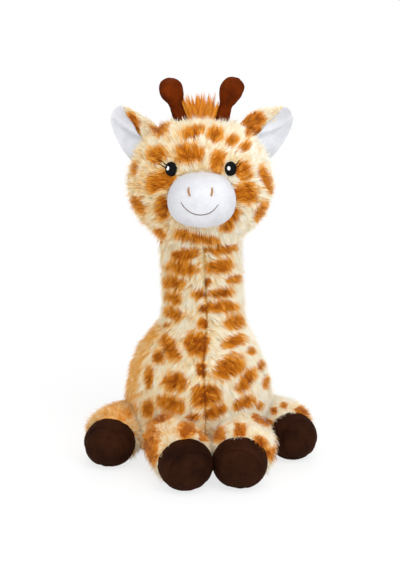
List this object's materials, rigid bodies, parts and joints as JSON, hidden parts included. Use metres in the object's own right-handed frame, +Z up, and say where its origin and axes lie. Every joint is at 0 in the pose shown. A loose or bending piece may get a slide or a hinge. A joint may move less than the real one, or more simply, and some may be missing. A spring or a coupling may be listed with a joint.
{
  "type": "plush giraffe",
  "caption": "Sitting plush giraffe with a long stuffed neck, turning head, flapping ears, soft legs with velour hooves, horns and a tail.",
  "frame": {"origin": "on the floor, centre of the bounding box", "axes": "+Z up through the neck, the toy faces -Y, its own left is +X"},
  "size_m": [0.245, 0.2737, 0.4001],
  "materials": {
    "fur": "medium-pile fur fabric, cream with orange-brown patches",
    "white_velour": "white short-pile velour",
    "rust_velour": "rust-brown short-pile velour",
    "dark_velour": "dark brown short-pile velour",
    "long_pile": "long orange pile",
    "thread": "satin-stitched black thread",
    "filling": "white polyester fibre filling"
  },
  "bodies": {
    "torso": {"torso_skin": "fur", "torso_stuffing": "filling"},
    "neck": {"neck_skin": "fur", "neck_stuffing": "filling"},
    "head": {"head_skin": "fur", "head_stuffing": "filling", "muzzle_skin": "white_velour", "muzzle_stuffing": "filling", "eye_left": "thread", "eye_right": "thread", "horn_left_sleeve": "rust_velour", "horn_left_stuffing": "filling", "horn_right_sleeve": "rust_velour", "horn_right_stuffing": "filling", "hair_tuft": "long_pile"},
    "ear_left": {"ear_left_outer": "fur", "ear_left_lining": "white_velour"},
    "ear_right": {"ear_right_outer": "fur", "ear_right_lining": "white_velour"},
    "front_leg_left": {"front_leg_left_skin": "fur", "front_leg_left_stuffing": "filling", "front_leg_left_hoof_band": "dark_velour", "front_leg_left_hoof_sole": "dark_velour"},
    "front_leg_right": {"front_leg_right_skin": "fur", "front_leg_right_stuffing": "filling", "front_leg_right_hoof_band": "dark_velour", "front_leg_right_hoof_sole": "dark_velour"},
    "hind_leg_left": {"hind_leg_left_skin": "fur", "hind_leg_left_stuffing": "filling", "hind_leg_left_hoof_band": "dark_velour", "hind_leg_left_hoof_sole": "dark_velour"},
    "hind_leg_right": {"hind_leg_right_skin": "fur", "hind_leg_right_stuffing": "filling", "hind_leg_right_hoof_band": "dark_velour", "hind_leg_right_hoof_sole": "dark_velour"},
    "tail": {"tail": "fur", "tail_tuft": "long_pile"}
  },
  "joints": [
    {"name": "neck_lean", "type": "hinge", "parent": "torso", "child": "neck", "pos_m": [0, 0, 0.09503], "axis": [1, 0, 0], "range_deg": [-8, 8], "stiffness_Nm_per_rad": 1.5},
    {"name": "head_turn", "type": "hinge", "parent": "neck", "child": "head", "pos_m": [0, 0, 0.29203], "axis": [0, 0, 1], "range_deg": [-20, 20], "stiffness_Nm_per_rad": 0.3},
    {"name": "ear_left_flap", "type": "hinge", "parent": "head", "child": "ear_left", "pos_m": [0.05866, -0.00007, 0.33508], "axis": [0.4317, 0.0761, -0.8988], "range_deg": [-12, 12], "stiffness_Nm_per_rad": 0.02},
    {"name": "ear_right_flap", "type": "hinge", "parent": "head", "child": "ear_right", "pos_m": [-0.0581, 0.0081, 0.33508], "axis": [-0.4169, 0.1355, -0.8988], "range_deg": [-12, 12], "stiffness_Nm_per_rad": 0.02},
    {"name": "front_leg_left_lift", "type": "hinge", "parent": "torso", "child": "front_leg_left", "pos_m": [0.03997, -0.06001, 0.036], "axis": [-1, 0, 0], "range_deg": [0, 24], "stiffness_Nm_per_rad": 0.3},
    {"name": "front_leg_right_lift", "type": "hinge", "parent": "torso", "child": "front_leg_right", "pos_m": [-0.03997, -0.06001, 0.036], "axis": [-1, 0, 0], "range_deg": [0, 24], "stiffness_Nm_per_rad": 0.3},
    {"name": "hind_leg_left_splay", "type": "hinge", "parent": "torso", "child": "hind_leg_left", "pos_m": [0.076, 0.00503, 0.0285], "axis": [0, 0, 1], "range_deg": [0, 20], "stiffness_Nm_per_rad": 0.3},
    {"name": "hind_leg_right_splay", "type": "hinge", "parent": "torso", "child": "hind_leg_right", "pos_m": [-0.076, 0.00503, 0.0285], "axis": [0, 0, -1], "range_deg": [0, 20], "stiffness_Nm_per_rad": 0.3},
    {"name": "tail_wag", "type": "hinge", "parent": "torso", "child": "tail", "pos_m": [0, 0.0818, 0.045], "axis": [0, 0, 1], "range_deg": [-25, 25], "stiffness_Nm_per_rad": 0.01}
  ]
}
